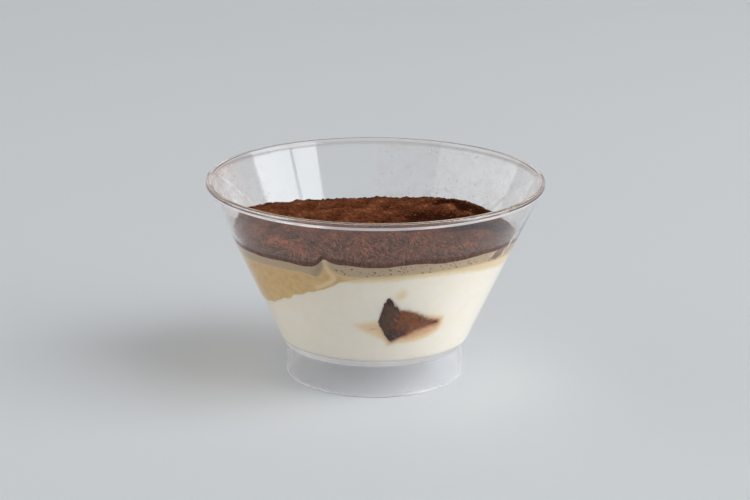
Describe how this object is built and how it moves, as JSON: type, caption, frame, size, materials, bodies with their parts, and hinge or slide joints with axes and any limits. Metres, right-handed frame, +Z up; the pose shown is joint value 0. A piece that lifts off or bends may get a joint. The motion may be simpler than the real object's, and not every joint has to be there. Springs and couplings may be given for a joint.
{
  "type": "tiramisu in a clear cup",
  "caption": "Layered tiramisu served in a flared clear plastic cup on a foot ring: white cream with a soaked sponge corner, coffee cream and a cocoa powder top",
  "frame": {"origin": "middle of the circle on which the foot ring stands", "axes": "+Z up along the cup's axis, -Y towards the side that shows the soaked sponge, +X to its right"},
  "size_m": [0.095, 0.095, 0.0565],
  "materials": {
    "clear_plastic": "clear, glossy",
    "white_cream": "smooth, slightly moist",
    "tan_cream": "smooth, slightly moist",
    "beige_cream": "smooth, with fine bubbles",
    "cocoa": "dry fine powder",
    "sponge": "porous, soaked",
    "shard": "rough, crumbly"
  },
  "bodies": {
    "root": {"cup": "clear_plastic", "mascarpone_cream": "white_cream", "coffee_cream": "tan_cream", "top_cream": "beige_cream", "cocoa_powder": "cocoa", "soaked_sponge": "sponge", "dark_shard": "shard"}
  },
  "joints": []
}
